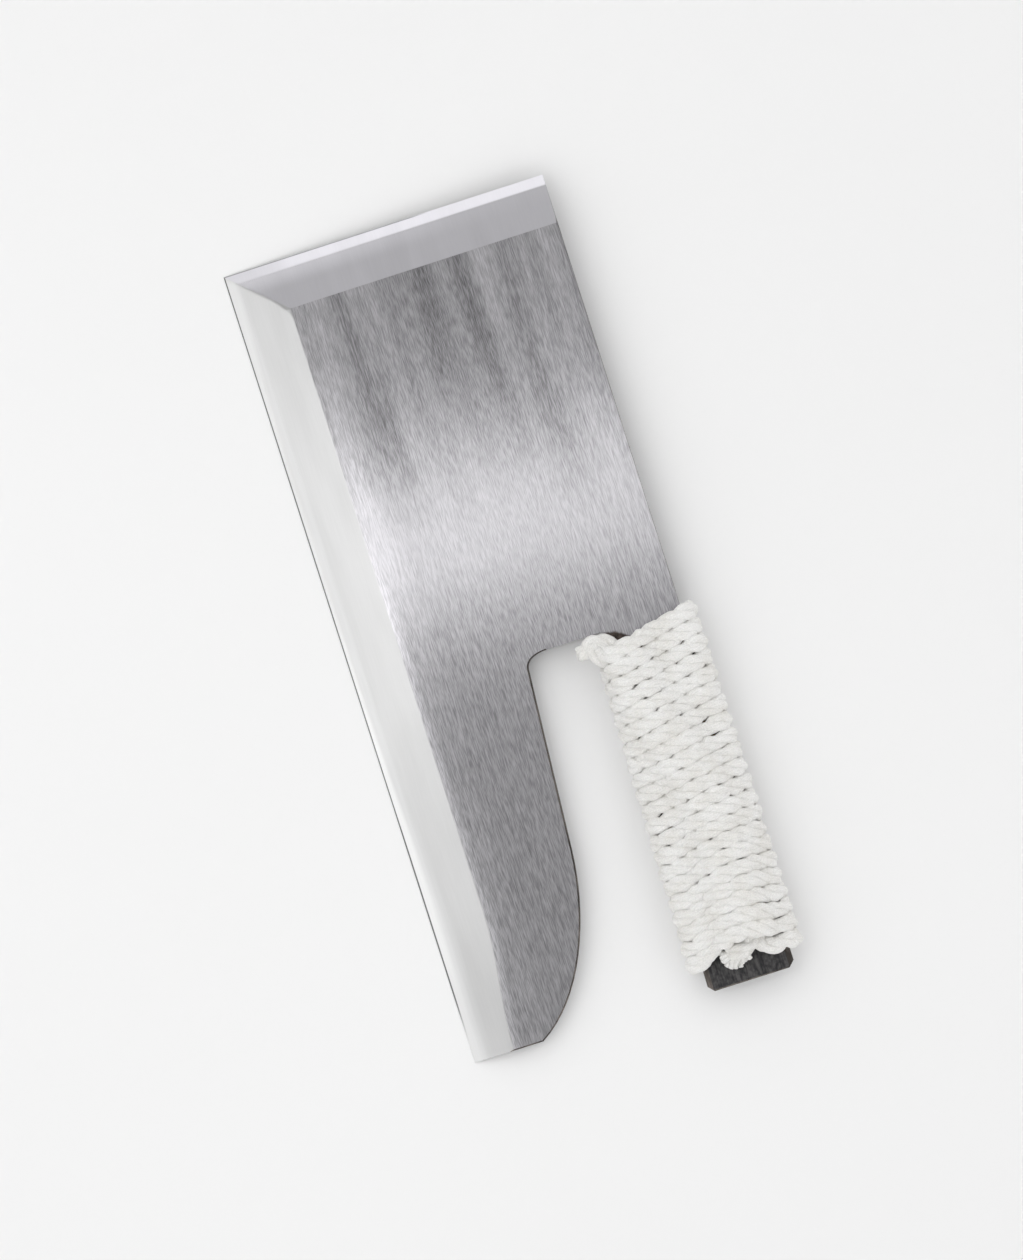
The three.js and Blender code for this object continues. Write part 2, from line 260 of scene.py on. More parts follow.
def new_material(name: str) -> tuple[Material, NodeKit, Node]:
    """Makes a material with one Principled shader.

    Args:
        name: the finish in plain words.
    """
    material = bpy.data.materials.new(name)
    material.use_nodes = True
    return material, NodeKit(material.node_tree), material.node_tree.nodes["Principled BSDF"]


@dataclass(frozen=True)
class KnifeFrame:
    """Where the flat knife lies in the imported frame: tilted about y, edge down, and shifted."""

    tilt: float
    shift: Vector

    @classmethod
    def from_record(cls, record: dict[str, Any], length: float, land: float) -> "KnifeFrame":
        """Reads the tilt from the ground face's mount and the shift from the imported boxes.

        Args:
            record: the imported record.
            length: blade length from heel to front end, mm.
            land: thickness left at the cutting edge, mm.

        Returns:
            The knife's place.
        """
        axis = next(mount["axis"] for mount in record["mounts"] if mount["name"] == "front_face")
        tilt = math.asin(-axis[0])
        low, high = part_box("edge_steel")
        shift = Vector((low.x / MILLIMETRE + land * math.sin(tilt), high.y / MILLIMETRE - length, low.z / MILLIMETRE))
        return cls(tilt, shift)

    def matrix(self) -> Matrix:
        """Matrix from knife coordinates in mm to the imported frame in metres."""
        turn = Matrix.Rotation(-self.tilt, 4, "Y")
        return Matrix.Scale(MILLIMETRE, 4) @ Matrix.Translation(self.shift) @ turn

    def point(self, x: float, y: float, z: float) -> Vector:
        """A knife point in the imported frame."""
        return self.matrix() @ Vector((x, y, z))

    def direction(self, vector: Vector) -> Vector:
        """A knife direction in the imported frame."""
        return Matrix.Rotation(-self.tilt, 3, "Y") @ vector


@dataclass(frozen=True)
class BladeSizes:
    """Sizes of the blade and its tang, in mm, as the solids have them."""

    length: float = 300.0
    height: float = 122.0
    thickness: float = 4.0
    hard_layer: float = 1.0
    weld_gap: float = 0.05
    land: float = 0.1
    edge_bevel: float = 20.0
    heel_bevel: float = 15.4
    heel_bevel_run: float = 50.0
    front_bevel: float = 18.4
    notch_depth: float = 135.2
    neck_left: float = 92.7
    tang_end_left: float = 89.2
    tang_end: float = -1.4

    def bevel_width(self, y: float) -> float:
        """Width of the edge bevel, which narrows towards the heel."""
        return lerp(self.heel_bevel, self.edge_bevel, smoothstep(y, 0.0, self.heel_bevel_run))

    def tang_inner(self, y: float) -> float:
        """Place of the tang's notch side at a height."""
        share = (y - self.tang_end) / (self.notch_depth - self.tang_end)
        return lerp(self.tang_end_left, self.neck_left, share)


@dataclass(frozen=True)
class GroundSide:
    """Normals of the ground side, where the flat face and the two bevels meet in softened lines."""

    sizes: BladeSizes
    edge_line: float = 0.13
    mitre_line: float = 0.24
    mitre_reach: float = 2.0
    front_line: float = 0.12
    corner: float = 1.3

    def normal(self, x: float, y: float) -> Vector:
        """Outward direction at a place on the ground side.

        Args:
            x: distance from the cutting edge, mm.
            y: distance from the heel, mm.

        Returns:
            The direction, in knife coordinates.
        """
        s = self.sizes
        drop = s.thickness - s.land
        edge_rise, front_rise = drop / s.bevel_width(y), drop / s.front_bevel
        edge_height = s.land + x * edge_rise
        front_height = s.land + (s.length - y) * front_rise
        under_face, under_front = s.thickness - edge_height, front_height - edge_height
        blend = max(0.0, self.corner - abs(under_face - under_front)) / self.corner
        depth = min(under_face, under_front) - blend * blend * self.corner / 4
        past = y - s.length + s.front_bevel
        soft = lerp(self.edge_line, self.mitre_line, smoothstep(past, -self.mitre_reach, self.mitre_reach))
        on_edge = smoothstep(depth, -soft, soft)
        on_front = smoothstep(past, -self.front_line, self.front_line)
        flat = UP.lerp(Vector((0, front_rise, 1)), on_front)
        return flat.lerp(Vector((-edge_rise, 0, 1)), on_edge).normalized()


@dataclass(frozen=True)
class TangScale:
    """Forge scale below the neck: brown at the neck, ochre under the cord, black on the tang's end."""

    edge: Pair = (-0.0142, -0.0154)
    edge_falls: Ramp = ((0.0320, 0.0385), (0.0, 0.0045))
    ragged: float = 0.003
    beyond: float = 0.012
    black: Shades = ((0.026, 0.026, 0.028, 1), (0.098, 0.094, 0.094, 1))
    ochre: Shades = ((0.44, 0.28, 0.12, 1), (0.68, 0.47, 0.22, 1))
    brown: Shades = ((0.045, 0.034, 0.030, 1), (0.13, 0.10, 0.085, 1))
    black_to: Pair = (-0.136, -0.133)
    ochre_to: Pair = (-0.025, -0.023)
    tones: Pair = (0.35, 0.66)
    rough: Ramp = ((0.35, 0.65), (0.62, 0.46))
    metal: float = 0.35

    def parts(self, kit: NodeKit, place: Socket) -> tuple[Socket, Socket, Socket]:
        """Adds the scale's nodes.

        Args:
            kit: calls on the material's tree.
            place: coordinates in metres.

        Returns:
            Where the scale lies, its colour and its roughness.
        """
        across, along, _ = kit.axes(place)
        ragged = kit.minus(kit.grain(place, (5, 5, 5), 3.0, (2, 9, 4)), 0.5)
        level = kit.math("MULTIPLY_ADD", ragged, self.ragged, kit.plus(along, kit.span(across, *self.edge_falls)))
        mask = kit.times(kit.span(level, self.edge), kit.math("GREATER_THAN", across, self.beyond))
        drawn = kit.grain(place, (0.8, 7, 4), 3.0, (5, 2, 1))
        mottle = kit.grain(place, (1.3, 1.6, 1.3), 3.0, (1, 7, 3))
        tone = kit.math("MULTIPLY_ADD", drawn, 0.5, kit.times(mottle, 0.5))
        spots = kit.span(mottle, USUAL)
        black = kit.mix(kit.span(tone, self.tones), *self.black)
        under_cord = kit.mix(kit.span(along, self.black_to), black, kit.mix(spots, *self.ochre))
        colour = kit.mix(kit.span(along, self.ochre_to), under_cord, kit.mix(spots, *self.brown))
        return mask, colour, kit.span(tone, *self.rough)


@dataclass(frozen=True)
class BrushedFace:
    """Steel brushed along the blade, with painted highlights beside the bevel; it turns into dark scale on the tang."""

    place: KnifeFrame
    sizes: BladeSizes
    scale: TangScale = TangScale()
    steel: float = 0.39
    tint: Triple = (1.0, 0.985, 1.025)
    hair_waves: Triple = (0.27, 4, 4)
    hair_swing: Pair = (-0.088, 0.088)
    hair_roughness: Pair = (0.28, 0.34)
    scratch_waves: Triple = (0.46, 7, 4)
    scratch_swing: Pair = (-0.04, 0.04)
    streak_waves: Triple = (11, 120, 30)
    streak_swing: float = 0.55
    streak_from: Pair = (0.02, 0.10)
    # painted sheen: the face's colour made brighter towards the edge bevel side
    sheen: Ramp = ((-0.0385, -0.0287), (1.13, 1.0))
    # painted highlight along the edge bevel's line, on the heel half of the face
    rub: float = 0.45
    painted_highlight_width: Pair = (0.0045, 0.0)
    painted_highlight_from: Pair = (0.05, 0.0)

    def make(self, name: str) -> Material:
        """Builds the finish on Object coordinates.

        Args:
            name: name of the material.

        Returns:
            The material.
        """
        material, kit, shader = new_material(name)
        place = kit.place()
        across, along, _ = kit.axes(place)
        hair = kit.grain(place, self.hair_waves, 1.0, (3, 1, 0))
        scratch = kit.grain(place, self.scratch_waves)
        streak = kit.minus(kit.grain(place, self.streak_waves, 1.0, (7, 4, 0)), 0.5)
        swing = kit.times(streak, kit.span(along, self.streak_from))
        lines = kit.plus(kit.span(hair, USUAL, self.hair_swing), kit.span(scratch, USUAL, self.scratch_swing))
        plain = kit.plus(lines, kit.math("MULTIPLY_ADD", swing, self.streak_swing, self.steel))
        # the face's colour takes two painted highlights: a sheen towards the bevel side and a brighter line along the
        # bevel
        shade = kit.times(kit.times(plain, kit.span(across, *self.sheen)), self.rubbed(kit, across, along))
        steel = kit.colour(*(kit.times(shade, part) for part in self.tint))
        scale, dark, rust = self.scale.parts(kit, place)
        tangent = kit.add("ShaderNodeTangent", direction_type="UV_MAP", uv_map="grain")
        kit.fill(shader, {
            "Base Color": kit.mix(scale, steel, dark),
            "Roughness": kit.mix(scale, kit.span(hair, USUAL, self.hair_roughness), rust, "FLOAT"),
            "Metallic": kit.mix(scale, 1.0, self.scale.metal, "FLOAT"),
            "Anisotropic": 1.0,
            "Tangent": tangent.outputs[0],
        })
        return material

    def rubbed(self, kit: NodeKit, across: Socket, along: Socket) -> Socket:
        """Factor of a painted highlight that makes the face brighter close to the edge bevel's line.

        Args:
            kit: calls on the material's tree.
            across: place across the blade.
            along: place along the blade.

        Returns:
            The factor.
        """
        s = self.sizes
        run = [self.place.point(0, y, 0).y for y in (0, s.heel_bevel_run)]
        line = [self.place.point(width, 0, s.thickness).x for width in (s.heel_bevel, s.edge_bevel)]
        aside = kit.minus(across, kit.span(along, run, line))
        near = kit.times(kit.span(aside, self.painted_highlight_width), kit.span(along, self.painted_highlight_from))
        return kit.math("MULTIPLY_ADD", near, self.rub, 1.0)


@dataclass(frozen=True)
class GroundBevel:
    """Satin bevels, bright where the grinding cuts through the hard steel, with painted glow, sheen and shade on them
    and a painted dark reflection along the very edge.
    """

    edge: float
    front: float
    mitre: float
    mitre_line: Pair = (-0.0003, 0.0003)
    satin: float = 0.56
    weld: float = 0.595
    weld_line: Pair = (0.0055, 0.0040)
    roughness: Pair = (0.30, 0.50)
    front_tint: Triple = (1.0, 0.987, 1.035)
    fine: Ramp = ((0.25, 0.75), (-0.008, 0.008))
    cloud: Ramp = (USUAL, (-0.015, 0.015))
    strip: Pair = (0.0021, 0.0010)
    strip_bright: float = 0.78
    strip_at_front: Ramp = ((0.085, 0.145), (1.0, 2.3))
    strip_at_heel: Ramp = ((0.0, -0.09), (0.0, 1.0))
    # painted glow: the edge bevel's colour made brighter near the edge, towards the heel
    glow: Pair = (0.0085, 0.004)
    painted_glow_at_heel: Ramp = ((-0.04, -0.11), (0.0, 0.15))
    # painted shade: the edge bevel's tone falls towards the heel end and towards the front
    painted_shade_at_heel: Ramp = ((-0.150, -0.095), (0.85, 1.0))
    painted_shade_at_front: Ramp = ((-0.04, 0.08), (1.06, 0.92))
    # painted dark reflection: a thin darker line along the cutting edge, wider at the heel, left off at the heel's end
    dull: Ramp = ((0.00028, 0.00050), (0.20, 1.0))
    dull_at_heel: Ramp = ((-0.075, -0.045), (1.3, 1.0))
    dull_from: Pair = (-0.143, -0.122)
    front_strip: Pair = (0.0042, 0.0034)
    front_bright: Ramp = ((-0.056, -0.032), (0.7476, 0.9078))
    # painted sheen: the front bevel brighter next to its bright strip, most towards the edge side
    front_sheen: Pair = (0.011, 0.004)
    front_sheen_along: Ramp = ((-0.045, 0.050), (0.36, 0.05))
    # painted dark reflection: a thin darker line along the front end, on its edge side only
    front_dull: Ramp = ((0.0002, 0.00045), (0.5, 1.0))
    front_dull_to: Pair = (0.006, 0.016)

    def make(self, name: str) -> Material:
        """Builds the finish on Object coordinates.

        Args:
            name: name of the material.

        Returns:
            The material.
        """
        material, kit, shader = new_material(name)
        place = kit.place()
        across, along, _ = kit.axes(place)
        inward = kit.minus(across, self.edge)
        back = kit.minus(self.front, along)
        on_front = kit.span(kit.minus(kit.times(inward, self.mitre), back), self.mitre_line)
        edge_strip, edge_tone = self.edge_side(kit, inward, along)
        front_strip, front_tone = self.front_side(kit, back, across)
        fine = kit.span(kit.grain(place, (0.5, 14, 4)), *self.fine)
        lines = kit.plus(fine, kit.span(kit.grain(place, (9, 40, 9), 1.0, (1, 6, 2)), *self.cloud))
        shade = kit.plus(kit.mix(on_front, edge_tone, front_tone, "FLOAT"), lines)
        tinted = (kit.times(shade, kit.mix(on_front, 1.0, part, "FLOAT")) for part in self.front_tint)
        strip = kit.mix(on_front, edge_strip, front_strip, "FLOAT")
        rough = kit.mix(strip, *self.roughness, "FLOAT")
        kit.fill(shader, {"Base Color": kit.colour(*tinted), "Roughness": rough, "Metallic": 1.0})
        return material

    def edge_side(self, kit: NodeKit, depth: Socket, along: Socket) -> tuple[Socket, Socket]:
        """Bright strip and tone of the edge bevel.

        Args:
            kit: calls on the material's tree.
            depth: distance from the edge.
            along: place along the blade.

        Returns:
            Where the strip lies, and the tone.
        """
        wide = kit.plus(kit.span(along, *self.strip_at_front), kit.span(along, *self.strip_at_heel))
        strip = kit.span(kit.math("DIVIDE", depth, wide), self.strip)
        hard = kit.mix(kit.span(depth, self.weld_line), self.satin, self.weld, "FLOAT")
        # painted glow: brightens the bevel's tone near the edge towards the heel
        glow = kit.times(kit.span(depth, self.glow), kit.span(along, *self.painted_glow_at_heel))
        tone = kit.mix(strip, kit.math("MULTIPLY_ADD", glow, hard, hard), self.strip_bright, "FLOAT")
        # painted shade along the bevel, darker at the heel end and towards the front
        painted_shade = kit.times(kit.span(along, *self.painted_shade_at_heel), kit.span(along, *self.painted_shade_at_front))
        # painted dark reflection along the cutting edge
        dull = kit.span(kit.math("DIVIDE", depth, kit.span(along, *self.dull_at_heel)), *self.dull)
        rim = kit.mix(kit.span(along, self.dull_from), 1.0, dull, "FLOAT")
        return strip, kit.times(tone, kit.times(painted_shade, rim))

    def front_side(self, kit: NodeKit, depth: Socket, across: Socket) -> tuple[Socket, Socket]:
        """Bright strip and tone of the front bevel.

        Args:
            kit: calls on the material's tree.
            depth: distance from the front end.
            across: place across the blade.

        Returns:
            Where the strip lies, and the tone.
        """
        strip = kit.span(depth, self.front_strip)
        # painted sheen on the front bevel's satin tone
        sheen = kit.times(kit.span(depth, self.front_sheen), kit.span(across, *self.front_sheen_along))
        satin = kit.math("MULTIPLY_ADD", sheen, self.satin, self.satin)
        tone = kit.mix(strip, satin, kit.span(across, *self.front_bright), "FLOAT")
        # painted dark reflection along the front end, towards the edge side
        rim = kit.mix(kit.span(across, self.front_dull_to), kit.span(depth, *self.front_dull), 1.0, "FLOAT")
        return strip, kit.times(tone, rim)


@dataclass(frozen=True)
class ScaledWall:
    """Dark brown forge scale on the walls and eased edges of the blade."""

    spots: Pair = (0.35, 0.7)
    shades: Shades = ((0.045, 0.038, 0.034, 1), (0.16, 0.14, 0.125, 1))
    roughness: Pair = (0.6, 0.42)
    metal: float = 0.6

    def make(self, name: str) -> Material:
        """Builds the finish on Object coordinates.

        Args:
            name: name of the material.

        Returns:
            The material.
        """
        material, kit, shader = new_material(name)
        spots = kit.grain(kit.place(), (3, 9, 2), 3.0)
        colour = kit.mix(kit.span(spots, self.spots), *self.shades)
        rough = kit.span(spots, USUAL, self.roughness)
        kit.fill(shader, {"Base Color": colour, "Roughness": rough, "Metallic": self.metal})
        return material


@dataclass(frozen=True)
class CottonLay:
    """Soft white cotton, with the twist of the yarns on each strand and painted shade in the grooves between the yarns.
    """

    pale: Triple = (0.935, 0.929, 0.912)
    worn: Triple = (0.93, 0.92, 0.90)
    yarns: int = 10
    pitch: float = 0.0019
    fluff_wave: float = 0.45
    tuft_wave: float = 1.3
    worn_wave: float = 9
    ridge_height: float = 0.35
    relief: float = 0.00034
    relief_strength: float = 0.9
    # painted shade: the colour darkens in the grooves between the yarns
    groove: Ramp = ((0.0, 0.45), (0.93, 1.0))
    speck: Pair = (0.87, 1.0)

    def make(self, name: str) -> Material:
        """Builds the finish on the strand's own length and turn.

        Args:
            name: name of the material.

        Returns:
            The material.
        """
        material, kit, shader = new_material(name)
        along = kit.add("ShaderNodeAttribute", attribute_name="along").outputs["Fac"]
        x, y, _ = kit.axes(kit.add("ShaderNodeAttribute", attribute_name="around").outputs["Vector"])
        turns = kit.times(along, 2 * math.pi / self.pitch)
        phase = kit.math("MULTIPLY_ADD", kit.math("ARCTAN2", y, x), float(self.yarns), turns)
        ridges = kit.math("ABSOLUTE", kit.math("SINE", kit.times(phase, 0.5)))
        place = kit.place()
        fluff = kit.grain(place, (self.fluff_wave,) * 3)
        tufts = kit.grain(place, (self.tuft_wave,) * 3, 2.0, (4, 2, 8))
        relief = kit.math("MULTIPLY_ADD", ridges, self.ridge_height, kit.plus(fluff, tufts))
        bump = {"Strength": self.relief_strength, "Distance": self.relief, "Height": relief}
        deep = [pale * worn for pale, worn in zip(self.pale, self.worn)]
        tone = kit.mix(kit.span(kit.grain(place, (self.worn_wave,) * 3), USUAL), (*deep, 1), (*self.pale, 1))
        # speck: fluff specks times the painted shade in the yarn grooves
        speck = kit.times(kit.span(ridges, *self.groove), kit.span(fluff, USUAL, self.speck))
        kit.fill(shader, {
            "Normal": kit.add("ShaderNodeBump", bump).outputs[0],
            "Base Color": kit.mix(1.0, tone, kit.colour(speck, speck, speck), blend="MULTIPLY"),
            "Roughness": 0.95,
            "Specular IOR Level": 0.15,
            "Sheen Weight": 0.25,
            "Sheen Roughness": 0.6,
        })
        return material


class Zone(Enum):
    """Kinds of surface on the blade, in the order of the material slots."""

    FACE = 0
    BEVEL = 1
    WALL = 2
    BACK = 3


@dataclass
class BladeLayer:
    """One welded layer of the blade: its solid's copy with sorted surfaces and softened grinding lines.

    face_up, bevel_up, eased_up and back_down part the surfaces by the upward part of their directions.
    """

    node: str
    slot: str
    place: KnifeFrame
    sizes: BladeSizes
    finishes: dict[Zone, Material]
    rim: float = 0.45
    rim_beside_tang: float = 1.0
    rim_below_notch: float = 4.0
    rim_above_notch: float = 2.0
    plain_beyond: float = 71.0
    plain_below: float = 8.0
    merge: float = 2e-6
    flat_angle: float = 0.2
    weld_left: float = 0.002
    same_level: float = 0.003
    near_line: float = 0.05
    face_up: float = 0.9997
    bevel_up: float = 0.93
    eased_up: float = 0.3
    back_down: float = -0.9
    same_wall: float = 0.9

    def build(self) -> Object:
        """Copies the node, sorts its surfaces, softens its lines and puts the piece in its place.

        Returns:
            The finished piece.
        """
        cut = self.copy_node()
        self.close_weld(cut)
        self.ease(cut)
        self.score(cut)
        for face in cut.faces:
            face.material_index = self.zone(face).value
            face.smooth = True
        mesh = baked(cut, self.node + "_visual")
        for zone in Zone:
            mesh.materials.append(self.finishes[zone])
        self.map_grain(mesh)
        normals = self.normals(mesh)
        mesh.transform(self.place.matrix())
        mesh.normals_split_custom_set([self.place.direction(normal) for normal in normals])
        return stand_for(mesh, self.node)

    def copy_node(self) -> BMesh:
        """Merged copy of the node's mesh in knife coordinates, with its flat surfaces whole.

        Returns:
            The copy.
        """
        cut = bmesh.new()
        cut.from_mesh(frame["nodes"][self.node].data)
        bmesh.ops.remove_doubles(cut, verts=cut.verts, dist=self.merge)
        cut.transform(self.place.matrix().inverted())
        bmesh.ops.dissolve_limit(cut, angle_limit=math.radians(self.flat_angle), verts=cut.verts, edges=cut.edges)
        cut.normal_update()
        return cut

    def close_weld(self, cut: BMesh) -> None:
        """Brings the upper layer down onto the hard one, so that no slit shows on the bevels.

        Args:
            cut: the layer in knife coordinates.
        """
        s = self.sizes
        drop, rise = s.weld_gap - self.weld_left, s.thickness - s.land
        height = s.hard_layer + s.weld_gap
        up = (height - s.land) / rise
        for vertex in cut.verts:
            if abs(vertex.co.z - height) < self.same_level:
                width = s.bevel_width(vertex.co.y)
                if vertex.co.x < up * width + self.near_line:
                    vertex.co.x -= drop / rise * width
                if vertex.co.y > s.length - up * s.front_bevel - self.near_line:
                    vertex.co.y += drop / rise * s.front_bevel
                vertex.co.z -= drop

    def ease(self, cut: BMesh) -> None:
        """Breaks the rim of the face along the heel and the notch, where the photograph shows a dark line.

        Args:
            cut: the layer in knife coordinates.
        """
        s = self.sizes
        rim = []
        for edge in cut.edges:
            sides = sorted(face.normal.z for face in edge.link_faces)
            middle = (edge.verts[0].co + edge.verts[1].co) / 2
            over_notch = middle.y - s.notch_depth
            on_tang = middle.x > s.tang_end_left - self.rim_beside_tang and over_notch < -self.rim_below_notch
            near = middle.x < s.neck_left and over_notch < self.rim_above_notch and not on_tang
            if len(sides) == 2 and abs(sides[0]) < self.eased_up and sides[1] > self.face_up and near:
                rim.append(edge)
        kind = {"offset_type": "OFFSET", "segments": 1, "profile": 0.5, "affect": "EDGES", "clamp_overlap": True}
        bmesh.ops.bevel(cut, geom=rim, offset=self.rim, **kind)
        cut.normal_update()

    def score(self, cut: BMesh) -> None:
        """Cuts the layer along lines close to the grinding lines, so that these can be soft.

        Args:
            cut: the layer in knife coordinates.
        """
        s = self.sizes
        front = s.length - s.front_bevel
        across = rows(1, 1, 12) + rows(13, 0.5, 19)
        along = rows(2.5, 2.5, 20) + rows(front - 2, 0.5, 40) + rows(front - 0.12, 0.24, 2)
        along += [s.notch_depth - self.plain_below, *rows(front - 3, -1, 11)]
        for axis, places in ((Vector((1, 0, 0)), across), (Vector((0, 1, 0)), along)):
            for at in places:
                parts = [*cut.verts, *cut.edges, *cut.faces]
                bmesh.ops.bisect_plane(cut, geom=parts, dist=1e-5, plane_co=axis * at, plane_no=axis)
        cut.normal_update()

    def zone(self, face: BMFace) -> Zone:
        """Sorts a face by its direction and place.

        Args:
            face: a face of the layer, in knife coordinates.

        Returns:
            The kind of surface that it belongs to.
        """
        up = face.normal.z
        if up < self.back_down:
            return Zone.BACK
        if up > self.face_up:
            return Zone.FACE
        if up > self.bevel_up:
            return Zone.BEVEL
        middle = face.calc_center_median()
        on_top = middle.x > self.plain_beyond and middle.y > self.sizes.notch_depth - self.plain_below
        return Zone.FACE if up > self.eased_up and on_top else Zone.WALL

    def map_grain(self, mesh: Mesh) -> None:
        """Lays out the map that the brushing follows: across it first, then along it.

        Args:
            mesh: the layer in knife coordinates.
        """
        grain = mesh.uv_layers.new(name="grain")
        for loop in mesh.loops:
            point = mesh.vertices[loop.vertex_index].co
            grain.data[loop.index].uv = ((point.x + point.z) * MILLIMETRE, point.y * MILLIMETRE)

    def normals(self, mesh: Mesh) -> list[Vector]:
        """Direction for each corner: the ground side's own, flat on the back, smooth round curved walls.

        Args:
            mesh: the layer in knife coordinates.

        Returns:
            One direction for each of the mesh's corners.
        """
        ground = GroundSide(self.sizes)
        walls: dict[int, list[MeshPolygon]] = {}
        for face in mesh.polygons:
            if face.material_index == Zone.WALL.value:
                for at in face.vertices:
                    walls.setdefault(at, []).append(face)
        normals = [UP] * len(mesh.loops)
        for face in mesh.polygons:
            for corner, at in zip(face.loop_indices, face.vertices):
                if face.material_index == Zone.WALL.value:
                    near = [other.normal for other in walls[at] if other.normal.dot(face.normal) > self.same_wall]
                    normals[corner] = sum(near, Vector()).normalized()
                elif face.material_index == Zone.BACK.value:
                    normals[corner] = face.normal.copy()
                else:
                    normals[corner] = ground.normal(*mesh.vertices[at].co.xy)
        return normals


@dataclass(frozen=True)
class CordSizes:
    """Sizes of the cord's winding, in mm: the solid's, with some places a few mm nearer the photograph's."""

    bend_radius: float = 4.7
    bend_inset: float = 1.434
    strand_spacing: float = 5.4
    turns: int = 21
    foot_right: float = 8.6
    foot_left: float = 9.8
    top_right: float = 133.4
    top_left: float = 131.2
    ridge: float = 110.0
    ridge_flat: float = 1.6
    ridge_ramp: float = 8.5
    lean_end: float = 122.0
    lean_run: float = 62.0
    lean_to: float = 97.5
    strand_foot: float = 24.0
    strand_points: int = 7
    first_peak: float = 105.5
    peak_middle: float = 111.0
    peak_settles: float = 5.0
    peak_rise: float = 4.4
    peak_span: float = 15.0
    peak_turns: float = 11.0


@dataclass(frozen=True)
class StrandLay:
    """How strands are laid into a cord, in metres. The fields are the rope tree's inputs."""

    strands: int
    strand_radius: float
    stand_out: float
    stand_aside: float
    step: float
    sides: int
    thinnest: float = 1.0
    thin_every: float = 0.007
    lay: float = 0.020

    @staticmethod
    def socket(name: str) -> str:
        """Name of the tree's input for a field."""
        return name.replace("_", " ").title()


